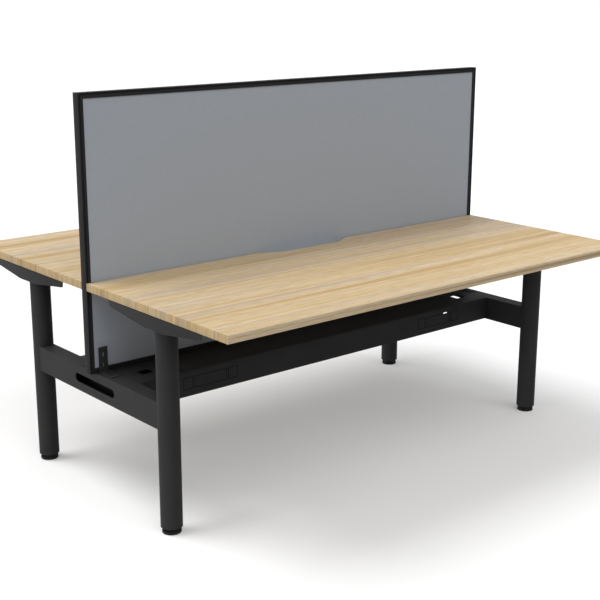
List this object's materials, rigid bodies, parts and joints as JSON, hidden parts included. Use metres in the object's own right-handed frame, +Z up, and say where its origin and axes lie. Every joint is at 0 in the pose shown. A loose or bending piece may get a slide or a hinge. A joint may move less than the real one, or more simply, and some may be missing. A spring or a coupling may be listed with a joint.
{
  "type": "benching desk",
  "caption": "Back-to-back bench desk: oak-look worktops on round metal legs, a full-length fabric screen between the users, a folded cable beam below and feet that screw out to level it.",
  "frame": {"origin": "on the floor under the middle of the desk", "axes": "+X along the worktops to the right of the front user, +Y from the front user to the back user, +Z up"},
  "size_m": [1.8, 1.52, 1.326],
  "materials": {
    "oak_board": "light oak melamine, grain along the length, satin",
    "oak_edge_band": "oak-look edge band, satin",
    "charcoal_paint": "charcoal powder coat, fine texture, satin",
    "black_aluminium": "black powder-coated extrusion, satin",
    "grey_fabric": "mid-grey woven, matt",
    "core_board": "raw fibreboard",
    "black_plastic": "moulded, matt",
    "zinc_steel": "zinc-plated"
  },
  "bodies": {
    "frame": {"back_cable_beam": "charcoal_paint", "back_left_leg": "charcoal_paint", "back_left_leg_plug": "black_plastic", "back_left_screen_bracket": "charcoal_paint", "back_left_worktop_arm": "charcoal_paint", "back_right_leg": "charcoal_paint", "back_right_leg_plug": "black_plastic", "back_right_screen_bracket": "charcoal_paint", "back_right_worktop_arm": "charcoal_paint", "back_worktop_board": "oak_board", "back_worktop_left_edge_band": "oak_edge_band", "back_worktop_right_edge_band": "oak_edge_band", "back_worktop_screen_edge_band": "oak_edge_band", "back_worktop_user_edge_band": "oak_edge_band", "front_cable_beam": "charcoal_paint", "front_left_leg": "charcoal_paint", "front_left_leg_plug": "black_plastic", "front_left_screen_bracket": "charcoal_paint", "front_left_worktop_arm": "charcoal_paint", "front_right_leg": "charcoal_paint", "front_right_leg_plug": "black_plastic", "front_right_screen_bracket": "charcoal_paint", "front_right_worktop_arm": "charcoal_paint", "front_worktop_board": "oak_board", "front_worktop_left_edge_band": "oak_edge_band", "front_worktop_right_edge_band": "oak_edge_band", "front_worktop_screen_edge_band": "oak_edge_band", "front_worktop_user_edge_band": "oak_edge_band", "left_cross_rail": "charcoal_paint", "right_cross_rail": "charcoal_paint", "screen_back_fabric": "grey_fabric", "screen_bottom_left_corner_key": "zinc_steel", "screen_bottom_rail": "black_aluminium", "screen_bottom_right_corner_key": "zinc_steel", "screen_core_board": "core_board", "screen_front_fabric": "grey_fabric", "screen_left_post": "black_aluminium", "screen_right_post": "black_aluminium", "screen_top_left_corner_key": "zinc_steel", "screen_top_rail": "black_aluminium", "screen_top_right_corner_key": "zinc_steel"},
    "front_left_foot": {"front_left_foot_pad": "black_plastic"},
    "front_left_stud": {"front_left_foot_stud": "zinc_steel"},
    "front_right_foot": {"front_right_foot_pad": "black_plastic"},
    "front_right_stud": {"front_right_foot_stud": "zinc_steel"},
    "back_left_foot": {"back_left_foot_pad": "black_plastic"},
    "back_left_stud": {"back_left_foot_stud": "zinc_steel"},
    "back_right_foot": {"back_right_foot_pad": "black_plastic"},
    "back_right_stud": {"back_right_foot_stud": "zinc_steel"}
  },
  "joints": [
    {"name": "front_left_foot_slide", "type": "slide", "parent": "frame", "child": "front_left_foot", "axis": [0, 0, -1], "range_m": [0, 0.012]},
    {"name": "front_left_stud_turn", "type": "hinge", "parent": "front_left_foot", "child": "front_left_stud", "pos_m": [-0.851, -0.389, 0.01], "axis": [0, 0, -1], "range_deg": [0, 3060]},
    {"name": "front_right_foot_slide", "type": "slide", "parent": "frame", "child": "front_right_foot", "axis": [0, 0, -1], "range_m": [0, 0.012]},
    {"name": "front_right_stud_turn", "type": "hinge", "parent": "front_right_foot", "child": "front_right_stud", "pos_m": [0.851, -0.389, 0.01], "axis": [0, 0, -1], "range_deg": [0, 3060]},
    {"name": "back_left_foot_slide", "type": "slide", "parent": "frame", "child": "back_left_foot", "axis": [0, 0, -1], "range_m": [0, 0.012]},
    {"name": "back_left_stud_turn", "type": "hinge", "parent": "back_left_foot", "child": "back_left_stud", "pos_m": [-0.851, 0.389, 0.01], "axis": [0, 0, -1], "range_deg": [0, 3060]},
    {"name": "back_right_foot_slide", "type": "slide", "parent": "frame", "child": "back_right_foot", "axis": [0, 0, -1], "range_m": [0, 0.012]},
    {"name": "back_right_stud_turn", "type": "hinge", "parent": "back_right_foot", "child": "back_right_stud", "pos_m": [0.851, 0.389, 0.01], "axis": [0, 0, -1], "range_deg": [0, 3060]}
  ],
  "couplings": [
    {"joint": "front_left_stud_turn", "follows": "front_left_foot_slide", "rad_per_m": 4188.8},
    {"joint": "front_right_stud_turn", "follows": "front_right_foot_slide", "rad_per_m": 4188.8},
    {"joint": "back_left_stud_turn", "follows": "back_left_foot_slide", "rad_per_m": 4188.8},
    {"joint": "back_right_stud_turn", "follows": "back_right_foot_slide", "rad_per_m": 4188.8}
  ]
}
